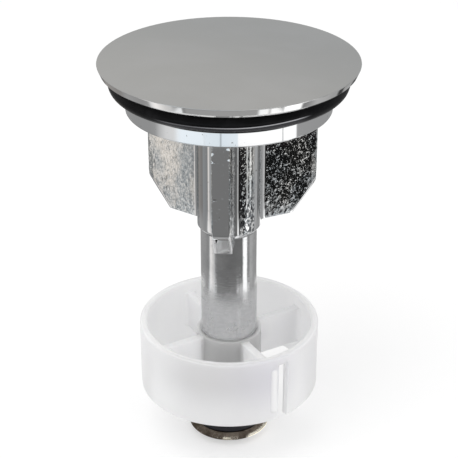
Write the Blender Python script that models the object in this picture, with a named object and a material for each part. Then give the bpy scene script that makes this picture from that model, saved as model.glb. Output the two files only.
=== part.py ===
"""Lift-out plug of a pop-up basin waste, in metres, +Z up.

The origin is on the plug's axis, at the foot of the adjusting screw. From the top down: a chromed cap, its
seal ring, a cast body with three guide wings, a turned stem, a nylon guide ring snapped on the stem, a rubber
washer and the adjusting screw that sets how high the lever lifts the plug. The front wing points along -Y.
"""

import math

import bmesh
import bpy
from mathutils import Matrix, Vector

# Gaps between neighbouring pieces
SEAT_GAP = 0.00005
RUNNING_GAP = 0.0001
SEAL_GAP = 0.0001

# Adjusting screw, head down
SCREW_HEAD_DIAMETER = 0.0135
SCREW_HEAD_DOME = 0.0011
SCREW_HEAD_RIM = 0.0002
SCREW_HEAD_BEVEL = 0.0007
SCREW_FOOT_DIAMETER = 0.0094
SCREW_FOOT_ROUND = 0.0016
SCREW_SLOT_WIDTH = 0.0015
SCREW_SLOT_DEPTH = 0.0009
SCREW_THREAD_DIAMETER = 0.006
SCREW_SHANK_LENGTH = 0.0145
SCREW_END_CHAMFER = 0.0006

# Rubber washer on the screw's head
WASHER_DIAMETER = 0.0116
WASHER_THICKNESS = 0.0019
WASHER_EDGE_ROUND = 0.0002

# Stem: turned bar, tapped below, with a threaded spigot above
STEM_DIAMETER = 0.00914
STEM_LENGTH = 0.0342
STEM_END_CHAMFER = 0.0004
STEM_BORE_SPACE = 0.001
SPIGOT_DIAMETER = 0.006
SPIGOT_LENGTH = 0.008
SPIGOT_CHAMFER = 0.0005
SNAP_GROOVE_DEPTH = 0.00035
SNAP_GROOVE_WIDTH = 0.0018

# Nylon guide ring
GUIDE_DIAMETER = 0.0295
GUIDE_WALL = 0.00125
GUIDE_HEIGHT = 0.0118
GUIDE_ABOVE_STEM_END = 0.0054
GUIDE_BOTTOM_ROUND = 0.001
GUIDE_TOP_ROUND = 0.0003
GUIDE_HUB_DIAMETER = 0.0107
GUIDE_HUB_HEIGHT = 0.0101
GUIDE_RIB_COUNT = 4
GUIDE_RIB_THICKNESS = 0.0013
GUIDE_RIB_HEIGHT = 0.0066
GUIDE_RIB_BELOW_HUB = 0.0003
GUIDE_RIB_TURN = math.radians(34.7)
NOTCH_WIDTH = 0.00187
NOTCH_BELOW_TOP = 0.0014
NOTCH_FROM_RIB = math.radians(6.2)
BEAD_RADIUS = 0.00105
BEAD_FROM_RIB = math.radians(-0.8)
BEAD_BELOW_TOP = 0.0014
BEAD_LENGTH = 0.0092
BEAD_PROUD = 0.0001

# Cast body: hub, wings, flange and neck
HUB_DIAMETER = 0.0101
HUB_BELOW_WINGS = 0.0007
HUB_CHAMFER_LENGTH = 0.00065
WING_COUNT = 3
WING_DIAMETER = 0.03
WING_THICKNESS = 0.0028
WING_HEIGHT = 0.01997
WING_CHAMFER_WIDTH = 0.0041
WING_CHAMFER_HEIGHT = 0.0049
WING_ROOT_FILLET = 0.0011
FLANGE_DIAMETER = 0.03172
FLANGE_THICKNESS = 0.0023
FLANGE_EDGE_ROUND = 0.0002
NECK_DIAMETER = 0.0306

# Seal ring and its play in the groove under the cap
SEAL_SECTION = 0.003
SEAL_PLAY = 0.00073

# Cap: thin crowned disc with a threaded stud
CAP_DIAMETER = 0.040
CAP_THICKNESS = 0.00147
CAP_CROWN = 0.0005
CAP_UNDER_BEVEL = 0.00042
CAP_RIM_TAPER = 0.0003
CAP_EDGE_ROUND = 0.0001
STUD_DIAMETER = 0.008
STUD_LENGTH = 0.0045
STUD_CHAMFER = 0.0005
BORE_END_SPACE = 0.0005

# Facets round large, small and slender forms, across rounds and edges, round the seal and up the crown
LARGE_STEPS = 72
SMALL_STEPS = 48
SLENDER_STEPS = 16
ROUND_STEPS = 3
EDGE_STEPS = 2
SECTION_STEPS = 12
CROWN_STEPS = 5

# Heights, bottom up
SCREW_HEAD_TOP = SCREW_HEAD_DOME + SCREW_HEAD_RIM + SCREW_HEAD_BEVEL
SCREW_END = SCREW_HEAD_TOP + SCREW_SHANK_LENGTH
WASHER_BOTTOM = SCREW_HEAD_TOP + SEAT_GAP
STEM_BOTTOM = WASHER_BOTTOM + WASHER_THICKNESS + SEAT_GAP
STEM_SHOULDER = STEM_BOTTOM + STEM_LENGTH
STEM_BORE_END = SCREW_END + STEM_BORE_SPACE
GUIDE_BOTTOM = STEM_BOTTOM + GUIDE_ABOVE_STEM_END
GUIDE_TOP = GUIDE_BOTTOM + GUIDE_HEIGHT
GUIDE_HUB_TOP = GUIDE_BOTTOM + GUIDE_HUB_HEIGHT
SNAP_MIDDLE = GUIDE_BOTTOM + GUIDE_HUB_HEIGHT / 2
HUB_END = STEM_SHOULDER + SEAT_GAP
WING_BOTTOM = HUB_END + HUB_BELOW_WINGS
FLANGE_BOTTOM = WING_BOTTOM + WING_HEIGHT
FLANGE_TOP = FLANGE_BOTTOM + FLANGE_THICKNESS
CAP_UNDERSIDE = FLANGE_TOP + SEAL_SECTION + SEAL_PLAY
NECK_TOP = CAP_UNDERSIDE - SEAT_GAP
CAP_EDGE = CAP_UNDERSIDE + CAP_THICKNESS


def clear_scene():
    for thing in list(bpy.data.objects):
        bpy.data.objects.remove(thing, do_unlink=True)


def surface(name, colour, metallic, roughness):
    """A plain finish for one material of the plug."""
    material = bpy.data.materials.new(name)
    material.use_nodes = True
    shader = material.node_tree.nodes["Principled BSDF"]
    shader.inputs["Base Color"].default_value = (*colour, 1.0)
    shader.inputs["Metallic"].default_value = metallic
    shader.inputs["Roughness"].default_value = roughness
    material.diffuse_color = (*colour, 1.0)
    return material


def rounded(corners, steps=ROUND_STEPS):
    """Points round a closed outline of (x, y, fillet radius) corners. A fillet is limited by its sides."""
    points = []
    for index, (x, y, fillet) in enumerate(corners):
        corner = Vector((x, y))
        before = Vector(corners[index - 1][:2]) - corner
        after = Vector(corners[(index + 1) % len(corners)][:2]) - corner
        if not fillet:
            points.append(corner)
            continue
        half = before.angle(after) / 2
        setback = min(fillet / math.tan(half), 0.45 * before.length, 0.45 * after.length)
        radius = setback * math.tan(half)
        inward = (before.normalized() + after.normalized()).normalized()
        centre = corner + inward * radius / math.sin(half)
        first = corner + before.normalized() * setback - centre
        sweep = first.angle_signed(corner + after.normalized() * setback - centre)
        for step in range(steps + 1):
            points.append(centre + Matrix.Rotation(-sweep * step / steps, 2) @ first)
    return points


def polar(radius, turn, height=0.0):
    """A point at this radius, turned from the front (-Y) towards +X."""
    return Vector((radius * math.sin(turn), -radius * math.cos(turn), height))


def finished(name, bm, material):
    """Closes a bmesh into a named object with faces out and round surfaces smooth."""
    bmesh.ops.remove_doubles(bm, verts=bm.verts, dist=1e-7)
    bmesh.ops.recalc_face_normals(bm, faces=bm.faces)
    mesh = bpy.data.meshes.new(name)
    bm.to_mesh(mesh)
    bm.free()
    mesh.shade_smooth()
    mesh.set_sharp_from_angle(angle=math.radians(30))
    if material:
        mesh.materials.append(material)
    piece = bpy.data.objects.new(name, mesh)
    bpy.context.scene.collection.objects.link(piece)
    return piece


def turned(name, outline, material=None, steps=LARGE_STEPS):
    """Spins a closed outline of (radius, height) points round the plug's axis."""
    bm = bmesh.new()
    ring = [bm.verts.new((point[0], 0.0, point[1])) for point in outline]
    for first, second in zip(ring, ring[1:] + ring[:1]):
        # An edge along the axis sweeps no surface
        if max(first.co.x, second.co.x) > 0:
            bm.edges.new((first, second))
    bmesh.ops.spin(
        bm, geom=bm.verts[:] + bm.edges[:], axis=(0, 0, 1), angle=math.tau, steps=steps, use_merge=True
    )
    return finished(name, bm, material)


def extruded(name, outline, bottom, top):
    """Raises a closed plan outline from one height to another."""
    bm = bmesh.new()
    face = bm.faces.new([bm.verts.new((point[0], point[1], bottom)) for point in outline])
    raised = bmesh.ops.extrude_face_region(bm, geom=[face])["geom"]
    corners = [item for item in raised if isinstance(item, bmesh.types.BMVert)]
    bmesh.ops.translate(bm, verts=corners, vec=(0, 0, top - bottom))
    return finished(name, bm, None)


def helper(piece):
    """Keeps a cutter or an addition out of the model itself."""
    piece.hide_render = True
    piece.display_type = "WIRE"
    return piece


def combine(piece, other, operation):
    modifier = piece.modifiers.new(f"{operation.lower()} {other.name}", "BOOLEAN")
    modifier.operation = operation
    modifier.solver = "EXACT"
    modifier.object = helper(other)


def plank(name, turn, inner, outer, thickness, bottom, top):
    """An upright plate that runs out from the axis."""
    side = polar(thickness / 2, turn + math.pi / 2)
    corners = [polar(inner, turn) - side, polar(outer, turn) - side]
    corners += [polar(outer, turn) + side, polar(inner, turn) + side]
    return extruded(name, corners, bottom, top)


def adjusting_screw(material):
    head, foot = SCREW_HEAD_DIAMETER / 2, SCREW_FOOT_DIAMETER / 2
    shank = SCREW_THREAD_DIAMETER / 2 - RUNNING_GAP / 2
    outline = rounded([
        (0, 0, 0),
        (foot, 0, SCREW_FOOT_ROUND),
        (head, SCREW_HEAD_DOME, 0),
        (head, SCREW_HEAD_DOME + SCREW_HEAD_RIM, 0),
        (WASHER_DIAMETER / 2, SCREW_HEAD_TOP, 0),
        (shank, SCREW_HEAD_TOP, 0),
        (shank, SCREW_END - SCREW_END_CHAMFER, 0),
        (shank - SCREW_END_CHAMFER, SCREW_END, 0),
        (0, SCREW_END, 0),
    ])
    screw = turned("adjusting_screw", outline, material, SMALL_STEPS)
    half = SCREW_SLOT_WIDTH / 2
    plan = [(-head, -half), (head, -half), (head, half), (-head, half)]
    combine(screw, extruded("screw_slot", plan, -SCREW_SLOT_DEPTH, SCREW_SLOT_DEPTH), "DIFFERENCE")


def buffer_washer(material):
    inner = SCREW_THREAD_DIAMETER / 2 + RUNNING_GAP
    outer, top = WASHER_DIAMETER / 2, WASHER_BOTTOM + WASHER_THICKNESS
    corners = [(inner, WASHER_BOTTOM), (outer, WASHER_BOTTOM), (outer, top), (inner, top)]
    rounds = [0, WASHER_EDGE_ROUND, WASHER_EDGE_ROUND, 0]
    outline = rounded([(*corner, fillet) for corner, fillet in zip(corners, rounds)], EDGE_STEPS)
    turned("buffer_washer", outline, material, SMALL_STEPS)


def stem(material):
    radius = STEM_DIAMETER / 2
    bore = SCREW_THREAD_DIAMETER / 2 + RUNNING_GAP / 2
    spigot = SPIGOT_DIAMETER / 2 - SEAT_GAP
    groove = radius - SNAP_GROOVE_DEPTH
    spigot_top = STEM_SHOULDER + SPIGOT_LENGTH
    outline = [
        (bore, STEM_BOTTOM),
        (radius - STEM_END_CHAMFER, STEM_BOTTOM),
        (radius, STEM_BOTTOM + STEM_END_CHAMFER),
        (radius, SNAP_MIDDLE - SNAP_GROOVE_WIDTH / 2),
        (groove, SNAP_MIDDLE - SNAP_GROOVE_WIDTH / 2 + SNAP_GROOVE_DEPTH),
        (groove, SNAP_MIDDLE + SNAP_GROOVE_WIDTH / 2 - SNAP_GROOVE_DEPTH),
        (radius, SNAP_MIDDLE + SNAP_GROOVE_WIDTH / 2),
        (radius, STEM_SHOULDER),
        (spigot, STEM_SHOULDER),
        (spigot, spigot_top - SPIGOT_CHAMFER),
        (spigot - SPIGOT_CHAMFER, spigot_top),
        (0, spigot_top),
        (0, STEM_BORE_END + bore / 2),
        (bore, STEM_BORE_END),
    ]
    turned("stem", outline, material, SMALL_STEPS)


def guide_ring(material):
    """Nylon ring: wall, hub with a snap bead in its bore, ribs, and a notch beside a rounded bead."""
    outer = GUIDE_DIAMETER / 2
    inner = outer - GUIDE_WALL
    wall = rounded([
        (inner, GUIDE_BOTTOM, 0),
        (outer, GUIDE_BOTTOM, GUIDE_BOTTOM_ROUND),
        (outer, GUIDE_TOP, GUIDE_TOP_ROUND),
        (inner, GUIDE_TOP, GUIDE_TOP_ROUND),
    ])
    ring = turned("guide_ring", wall, material)

    bore = STEM_DIAMETER / 2 + RUNNING_GAP
    snap = bore - SNAP_GROOVE_DEPTH
    snap_half = SNAP_GROOVE_WIDTH / 2 - RUNNING_GAP
    hub_outer = GUIDE_HUB_DIAMETER / 2
    hub = turned("guide_hub", [
        (bore, GUIDE_BOTTOM),
        (hub_outer, GUIDE_BOTTOM),
        (hub_outer, GUIDE_HUB_TOP),
        (bore, GUIDE_HUB_TOP),
        (bore, SNAP_MIDDLE + snap_half),
        (snap, SNAP_MIDDLE + snap_half - SNAP_GROOVE_DEPTH),
        (snap, SNAP_MIDDLE - snap_half + SNAP_GROOVE_DEPTH),
        (bore, SNAP_MIDDLE - snap_half),
    ], None, SMALL_STEPS)

    rib_inner, rib_outer = (bore + hub_outer) / 2, (inner + outer) / 2
    rib_top = GUIDE_HUB_TOP - GUIDE_RIB_BELOW_HUB
    rib_bottom = rib_top - GUIDE_RIB_HEIGHT
    for index in range(GUIDE_RIB_COUNT):
        turn = GUIDE_RIB_TURN + math.tau * index / GUIDE_RIB_COUNT
        size = (rib_inner, rib_outer, GUIDE_RIB_THICKNESS, rib_bottom, rib_top)
        rib = plank(f"guide_rib_{index}", turn, *size)
        combine(ring, rib, "UNION")
    combine(ring, hub, "UNION")

    notch_top = GUIDE_TOP - NOTCH_BELOW_TOP
    notch = plank(
        "guide_notch", GUIDE_RIB_TURN + NOTCH_FROM_RIB, inner - GUIDE_WALL, outer + GUIDE_WALL,
        NOTCH_WIDTH, GUIDE_BOTTOM - GUIDE_WALL, notch_top,
    )
    combine(ring, notch, "DIFFERENCE")
    combine(ring, notch_bead(outer), "UNION")


def notch_bead(outer):
    """A round-ended bar that stiffens the wall beside the notch."""
    top = GUIDE_TOP - BEAD_BELOW_TOP
    bottom = top - BEAD_LENGTH
    edge = BEAD_RADIUS
    profile = rounded([(0, bottom, 0), (edge, bottom, edge), (edge, top, edge), (0, top, 0)], EDGE_STEPS)
    bead = turned("guide_bead", profile, None, SLENDER_STEPS)
    centre = polar(outer + BEAD_PROUD - BEAD_RADIUS, GUIDE_RIB_TURN + BEAD_FROM_RIB)
    bead.data.transform(Matrix.Translation(centre))
    return bead


def wing_plan():
    """Plan outline of the hub with its wings and the fillets where they meet."""
    hub, half, reach = HUB_DIAMETER / 2, WING_THICKNESS / 2, FLANGE_DIAMETER / 2
    fillet = WING_ROOT_FILLET
    # The fillet's centre is one fillet radius off both the wing's side and the hub
    off_side = half + fillet
    along = math.sqrt((hub + fillet) ** 2 - off_side ** 2)
    from_wing = math.atan2(off_side, along)
    points = []
    for index in range(WING_COUNT):
        turn = math.tau * index / WING_COUNT
        spin = Matrix.Rotation(turn, 2)
        # In this frame the wing runs along -Y, and the outline passes it from its left to its right
        for side in (-1, 1):
            centre = Vector((side * off_side, -along))
            arc = [
                centre + fillet * Vector((-side * math.cos(a), math.sin(a)))
                for a in (step / ROUND_STEPS * (math.pi / 2 - from_wing) for step in range(ROUND_STEPS + 1))
            ]
            tip = Vector((side * half, -reach))
            points += [spin @ point for point in (arc[::-1] + [tip] if side < 0 else [tip] + arc)]
        # The hub's own arc up to the next wing's fillet, in step with the turned surfaces
        for step in range(LARGE_STEPS):
            angle = math.tau * step / LARGE_STEPS
            if from_wing < angle < math.tau / WING_COUNT - from_wing:
                points.append(spin @ polar(hub, angle).to_2d())
    return points


def winged_body(material):
    """The casting: a star-shaped extrusion, turned down at its ends, under a turned flange and neck."""
    reach, hub_end = WING_DIAMETER / 2, STEM_DIAMETER / 2
    flare = (HUB_DIAMETER / 2 - hub_end) / HUB_CHAMFER_LENGTH
    buried = FLANGE_BOTTOM + FLANGE_THICKNESS / 2
    body = extruded("winged_body", wing_plan(), HUB_END - SEAT_GAP, buried)
    body.data.materials.append(material)
    envelope = turned("turning_envelope", [
        (0, HUB_END),
        (hub_end, HUB_END),
        (hub_end + flare * HUB_BELOW_WINGS, WING_BOTTOM),
        (reach - WING_CHAMFER_WIDTH, WING_BOTTOM),
        (reach, WING_BOTTOM + WING_CHAMFER_HEIGHT),
        (reach, buried + FLANGE_THICKNESS / 4),
        (0, buried + FLANGE_THICKNESS / 4),
    ])
    combine(body, envelope, "INTERSECT")

    rim, neck = FLANGE_DIAMETER / 2, NECK_DIAMETER / 2
    flange = turned("flange_and_neck", rounded([
        (0, FLANGE_BOTTOM, 0),
        (rim, FLANGE_BOTTOM, FLANGE_EDGE_ROUND),
        (rim, FLANGE_TOP, FLANGE_EDGE_ROUND),
        (neck, FLANGE_TOP, 0),
        (neck, NECK_TOP, 0),
        (0, NECK_TOP, 0),
    ], EDGE_STEPS))
    combine(body, flange, "UNION")

    for name, diameter, mouth, end in (
        ("stud_bore", STUD_DIAMETER, NECK_TOP, NECK_TOP - STUD_LENGTH - BORE_END_SPACE),
        ("spigot_bore", SPIGOT_DIAMETER, HUB_END, HUB_END + SPIGOT_LENGTH + BORE_END_SPACE),
    ):
        radius = diameter / 2
        past = 2 * mouth - end
        low, high = min(past, end), max(past, end)
        bore = turned(name, [(0, low), (radius, low), (radius, high), (0, high)], None, SMALL_STEPS)
        combine(body, bore, "DIFFERENCE")


def seal_ring(material):
    section = SEAL_SECTION / 2
    radius = NECK_DIAMETER / 2 + SEAL_GAP + section
    height = CAP_UNDERSIDE - SEAL_GAP - section
    turns = [math.tau * step / SECTION_STEPS for step in range(SECTION_STEPS)]
    outline = [(radius + section * math.cos(a), height + section * math.sin(a)) for a in turns]
    turned("seal_ring", outline, material)


def plug_cap(material):
    rim = CAP_DIAMETER / 2
    stud = STUD_DIAMETER / 2 - SEAT_GAP
    stud_end = CAP_UNDERSIDE - STUD_LENGTH
    underside = rounded([
        (0, stud_end, 0),
        (stud - STUD_CHAMFER, stud_end, 0),
        (stud, stud_end + STUD_CHAMFER, 0),
        (stud, CAP_UNDERSIDE, 0),
        (rim - CAP_RIM_TAPER - CAP_UNDER_BEVEL, CAP_UNDERSIDE, 0),
        (rim - CAP_RIM_TAPER, CAP_UNDERSIDE + CAP_UNDER_BEVEL, CAP_EDGE_ROUND),
        (rim, CAP_EDGE, CAP_EDGE_ROUND),
        (0, CAP_EDGE, 0),
    ], EDGE_STEPS)[:-1]
    # The crown is a shallow dome, from the edge's inner end up to the middle
    crown_edge = underside[-1]
    crown = [
        (crown_edge.x * math.cos(a), crown_edge.y + CAP_CROWN * math.sin(a))
        for a in (math.pi / 2 * step / CROWN_STEPS for step in range(1, CROWN_STEPS + 1))
    ]
    crown[-1] = (0, crown_edge.y + CAP_CROWN)
    turned("plug_cap", underside + crown, material)


def build():
    clear_scene()
    chrome = surface("polished_chrome", (0.72, 0.72, 0.73), 1.0, 0.08)
    cast_chrome = surface("cast_chrome", (0.62, 0.63, 0.64), 1.0, 0.3)
    rubber = surface("black_rubber", (0.012, 0.012, 0.013), 0.0, 0.45)
    nylon = surface("white_nylon", (0.86, 0.86, 0.88), 0.0, 0.35)
    bronze = surface("bronze", (0.16, 0.12, 0.085), 0.9, 0.4)
    plug_cap(chrome)
    seal_ring(rubber)
    winged_body(cast_chrome)
    stem(chrome)
    guide_ring(nylon)
    buffer_washer(rubber)
    adjusting_screw(bronze)


build()
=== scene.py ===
# Lift-out plug of a pop-up basin waste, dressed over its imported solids. +Z is up and -Y is the front.
# Lengths are in metres, and in millimetres inside the finishes. Settings stand beside the code they are for.
import math

import bmesh
import bpy
from mathutils import Matrix, Vector


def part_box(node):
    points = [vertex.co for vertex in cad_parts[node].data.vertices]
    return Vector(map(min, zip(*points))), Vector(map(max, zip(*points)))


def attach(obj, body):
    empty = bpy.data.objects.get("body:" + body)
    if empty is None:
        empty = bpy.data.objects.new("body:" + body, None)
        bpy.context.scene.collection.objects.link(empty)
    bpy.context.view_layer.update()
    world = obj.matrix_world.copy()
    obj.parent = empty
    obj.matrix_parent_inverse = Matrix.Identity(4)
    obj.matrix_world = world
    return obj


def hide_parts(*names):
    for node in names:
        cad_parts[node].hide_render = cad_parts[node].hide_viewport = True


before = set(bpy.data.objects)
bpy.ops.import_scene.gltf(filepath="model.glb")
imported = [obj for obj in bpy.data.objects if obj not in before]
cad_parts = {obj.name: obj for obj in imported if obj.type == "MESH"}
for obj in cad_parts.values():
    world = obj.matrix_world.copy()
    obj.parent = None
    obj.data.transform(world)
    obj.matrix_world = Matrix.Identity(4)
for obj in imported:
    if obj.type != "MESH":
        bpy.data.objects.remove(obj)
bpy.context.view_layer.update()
print("frame: loaded", ", ".join(sorted(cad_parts)))

mm = 0.001


# Node trees: a Wire is one output or number that Python's operators add Math nodes to

class Wire:
    def __init__(self, graph, source):
        self.graph = graph
        self.source = source

    def math(self, operation, *others):
        values = dict(enumerate((self, *others)))
        return self.graph.add("ShaderNodeMath", {"operation": operation}, values)

    def __add__(self, other):
        return self.math("ADD", other)

    def __sub__(self, other):
        return self.math("SUBTRACT", other)

    def __mul__(self, other):
        return self.math("MULTIPLY", other)

    def __truediv__(self, other):
        return self.math("DIVIDE", other)

    def __rsub__(self, other):
        return (self * -1.0) + other

    def __rtruediv__(self, other):
        return self.math("POWER", -1.0) * other

    __radd__ = __add__
    __rmul__ = __mul__

    def rise(self, low, high):  # 0 below low, 1 above high, smooth between
        sockets = {"Value": self, "From Min": low, "From Max": high}
        return self.graph.add("ShaderNodeMapRange", {"interpolation_type": "SMOOTHSTEP"}, sockets)


class Graph:
    def __init__(self, tree):
        self.tree = tree
        self.entry = None

    def add(self, kind, settings=None, sockets=None, out=0):
        node = self.tree.nodes.new(kind)
        for name, value in (settings or {}).items():
            if name == "stops":
                self.fillRamp(node.color_ramp, value)
            else:
                setattr(node, name, value)
        for name, value in (sockets or {}).items():
            if isinstance(value, Wire):
                self.tree.links.new(value.source, node.inputs[name])
            else:
                node.inputs[name].default_value = value
        return Wire(self, node.outputs[out]) if node.outputs else None

    def fillRamp(self, ramp, stops):
        while len(ramp.elements) < len(stops):
            ramp.elements.new(1.0)
        for element, (place, shade) in zip(ramp.elements, stops):
            element.position = place
            element.color = (*shade, 1.0) if isinstance(shade, tuple) else (shade, shade, shade, 1.0)

    def pick(self, wire, out):  # another output of the node that a wire comes from
        return Wire(self, wire.source.node.outputs[out])

    def blend(self, factor, first, second):  # two colours mixed by a factor
        sockets = {0: factor, 6: first, 7: second}
        return self.add("ShaderNodeMix", {"data_type": "RGBA"}, sockets, 2)

    def size(self, name, kind, value=None):  # a named input of a geometry tree
        socket = self.tree.interface.new_socket(name=name, in_out="INPUT", socket_type=kind)
        if value is not None:
            socket.default_value = value
        if self.entry is None:
            self.entry = self.tree.nodes.new("NodeGroupInput")
        return Wire(self, self.entry.outputs[name])

    def giveGeometry(self, wire):
        self.tree.interface.new_socket(name="Geometry", in_out="OUTPUT", socket_type="NodeSocketGeometry")
        self.add("NodeGroupOutput", None, {0: wire})


def colour(red, green, blue):
    return (red, green, blue, 1.0)


# Shape helpers

filletLimits = {"mostOfEdge": 0.42, "guard": 0.04 * mm, "mostGuard": 0.3}


def quarter(steps):  # angles from nothing to a right angle
    return [math.pi / 2 * step / steps for step in range(steps + 1)]


def raised(plan, height):
    return [point + Vector((0, 0, height)) for point in plan]


def polar(radius, turn, height=0.0):  # turned from the front (-Y) towards +X
    return Vector((radius * math.sin(turn), -radius * math.cos(turn), height))


def softOutline(corners, steps):  # (radius, height, fillet) corners of an outline, the fillets as arcs
    limits = filletLimits
    points = []
    for index, (x, y, fillet) in enumerate(corners):
        corner = Vector((x, y))
        if not fillet:
            points.append(corner)
            continue
        before = Vector(corners[index - 1][:2]) - corner
        after = Vector(corners[(index + 1) % len(corners)][:2]) - corner
        half = before.angle(after) / 2
        most = limits["mostOfEdge"] * min(before.length, after.length)
        setback = min(fillet / math.tan(half), most)
        radius = setback * math.tan(half)
        centre = corner + (before.normalized() + after.normalized()).normalized() * radius / math.sin(half)
        first = corner + before.normalized() * setback - centre
        sweep = first.angle_signed(corner + after.normalized() * setback - centre)
        arc = [centre + Matrix.Rotation(-sweep * step / steps, 2) @ first for step in range(steps + 1)]
        # A row just off each end of the arc keeps the flats beside it flat
        guard = min(limits["guard"], limits["mostGuard"] * setback)
        points += [arc[0] + before.normalized() * guard, *arc, arc[-1] + after.normalized() * guard]
    return points


def circles(outline, steps):  # one ring of points for each (radius, height), a single point on the axis
    turns = [math.tau * step / steps for step in range(steps)]
    return [[polar(r, turn, z) for turn in turns] if r > 1e-7 else [Vector((0, 0, z))] for r, z in outline]


def skin(name, rings, wrap=True, closed=False, caps=False):  # a mesh over rings of points
    bm = bmesh.new()
    rows = [[bm.verts.new(point) for point in ring] for ring in rings]
    pairs = list(zip(rows, rows[1:]))
    if closed:
        pairs.append((rows[-1], rows[0]))
    # A ring of one point is a pole, so its faces lose their repeated corners
    for low, high in pairs:
        count = max(len(low), len(high))
        for index in range(count if wrap else count - 1):
            after = (index + 1) % count
            corners = [low[index % len(low)], low[after % len(low)]]
            corners += [high[after % len(high)], high[index % len(high)]]
            bm.faces.new(list(dict.fromkeys(corners)))
    if caps:
        bm.faces.new(rows[0])
        bm.faces.new(rows[-1])
    if wrap:
        bmesh.ops.recalc_face_normals(bm, faces=bm.faces)
    mesh = bpy.data.meshes.new(name)
    bm.to_mesh(mesh)
    bm.free()
    piece = bpy.data.objects.new(name, mesh)
    bpy.context.scene.collection.objects.link(piece)
    return piece


def settle(piece):  # modifiers become the mesh itself
    graph = bpy.context.evaluated_depsgraph_get()
    mesh = bpy.data.meshes.new_from_object(piece.evaluated_get(graph))
    piece.modifiers.clear()
    piece.data = mesh
    return piece


def cut(piece, other, operation):  # an exact boolean that uses up the other piece
    modifier = piece.modifiers.new(operation.lower(), "BOOLEAN")
    modifier.operation = operation
    modifier.solver = "EXACT"
    modifier.object = other
    settle(piece)
    bpy.data.objects.remove(other)


def polish(piece, finish, sharpFrom=32):  # clean mesh, smooth rounds, flats kept flat by weighted normals
    bm = bmesh.new()
    bm.from_mesh(piece.data)
    bmesh.ops.remove_doubles(bm, verts=bm.verts, dist=0.0005 * mm)
    bmesh.ops.recalc_face_normals(bm, faces=bm.faces)
    bm.to_mesh(piece.data)
    bm.free()
    piece.data.materials.clear()
    piece.data.materials.append(finish)
    piece.data.shade_smooth()
    piece.data.set_sharp_from_angle(angle=math.radians(sharpFrom))
    weighted = piece.modifiers.new("weighted", "WEIGHTED_NORMAL")
    weighted.keep_sharp = True
    weighted.weight = 60
    return settle(piece)


def withTree(piece, tree, **sizes):  # runs a geometry tree over a piece with these named sizes
    modifier = piece.modifiers.new(tree.name, "NODES")
    modifier.node_group = tree
    for item in tree.interface.items_tree:
        if item.in_out == "INPUT" and item.name in sizes:
            modifier[item.identifier] = sizes[item.name]
    return settle(piece)


def roundPattern():  # repeats a piece round the plug's axis and joins what touches
    g = Graph(bpy.data.node_groups.new("roundPattern", "GeometryNodeTree"))
    single = g.size("Geometry", "NodeSocketGeometry")
    count = g.size("Count", "NodeSocketInt", 3)
    first = g.size("First", "NodeSocketFloat", 0.0)
    join = g.size("Join", "NodeSocketFloat", 0.001 * mm)
    finish = g.size("Finish", "NodeSocketMaterial")
    spots = g.add("GeometryNodeMeshLine", None, {"Count": count, "Offset": (0, 0, 0)})
    turn = first + g.add("GeometryNodeInputIndex") * (math.tau / count)
    spin = g.add("FunctionNodeEulerToRotation", None, {0: g.add("ShaderNodeCombineXYZ", None, {"Z": turn})})
    placed = {"Points": spots, "Instance": single, "Rotation": spin}
    copies = g.add("GeometryNodeInstanceOnPoints", None, placed)
    solid = g.add("GeometryNodeRealizeInstances", None, {0: copies})
    joined = g.add("GeometryNodeMergeByDistance", None, {"Geometry": solid, "Distance": join})
    g.giveGeometry(g.add("GeometryNodeSetMaterial", None, {"Geometry": joined, "Material": finish}))
    return g.tree


def threadTree():  # a grid rolled into a shank whose radius follows a right-hand thread
    g = Graph(bpy.data.node_groups.new("threadedShank", "GeometryNodeTree"))
    g.size("Geometry", "NodeSocketGeometry")  # for the modifier, since the shank starts from nothing
    radius = g.size("Radius", "NodeSocketFloat", 3.0 * mm)
    depth = g.size("Depth", "NodeSocketFloat", 0.6 * mm)
    pitch = g.size("Pitch", "NodeSocketFloat", 1.0 * mm)
    bottom = g.size("Bottom", "NodeSocketFloat", 0.0)
    length = g.size("Length", "NodeSocketFloat", 12.0 * mm)
    point = g.size("Point", "NodeSocketFloat", 0.8 * mm)
    around = g.size("Around", "NodeSocketInt", 48)
    rows = g.size("Rows", "NodeSocketInt", 160)
    finish = g.size("Finish", "NodeSocketMaterial")
    sheetSizes = {"Size X": 1.0, "Size Y": 1.0, "Vertices X": around + 1, "Vertices Y": rows}
    sheet = g.add("GeometryNodeMeshGrid", None, sheetSizes)
    place = g.add("ShaderNodeSeparateXYZ", None, {0: g.add("GeometryNodeInputPosition")})
    turned = place + 0.5
    row = (g.pick(place, 1) + 0.5) * (rows - 1)
    along = ((row - 1) / (rows - 3)).math("MAXIMUM", 0.0).math("MINIMUM", 1.0)
    height = along * length
    phase = (height / pitch - turned).math("FRACT")
    # The ridge is cut off at 1, so its crest is flat
    ridge = ((1 - (phase * 2 - 1).math("ABSOLUTE")) * 1.35).math("MINIMUM", 1.0)
    crest = radius - depth * (1 - ridge)
    reach = crest.math("MINIMUM", radius - point + (length - height))
    # The first and last rows close the ends on the axis
    onAxis = row.math("LESS_THAN", 0.5) + row.math("GREATER_THAN", rows - 1.5)
    reach = reach * (1 - onAxis)
    angle = turned * math.tau
    where = {"X": reach * angle.math("COSINE"), "Y": reach * angle.math("SINE"), "Z": height + bottom}
    rolled = {"Geometry": sheet, "Position": g.add("ShaderNodeCombineXYZ", None, where)}
    joined = {"Geometry": g.add("GeometryNodeSetPosition", None, rolled), "Distance": 0.001 * mm}
    merged = g.add("GeometryNodeMergeByDistance", None, joined)
    g.giveGeometry(g.add("GeometryNodeSetMaterial", None, {"Geometry": merged, "Material": finish}))
    return g.tree


# Finishes

def startFinish(name):
    material = bpy.data.materials.new(name)
    material.use_nodes = True
    material.node_tree.nodes.clear()
    return material, Graph(material.node_tree)


def inMillimetres(g, place):
    return g.add("ShaderNodeVectorMath", {"operation": "SCALE"}, {0: place, "Scale": 1 / mm})


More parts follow.
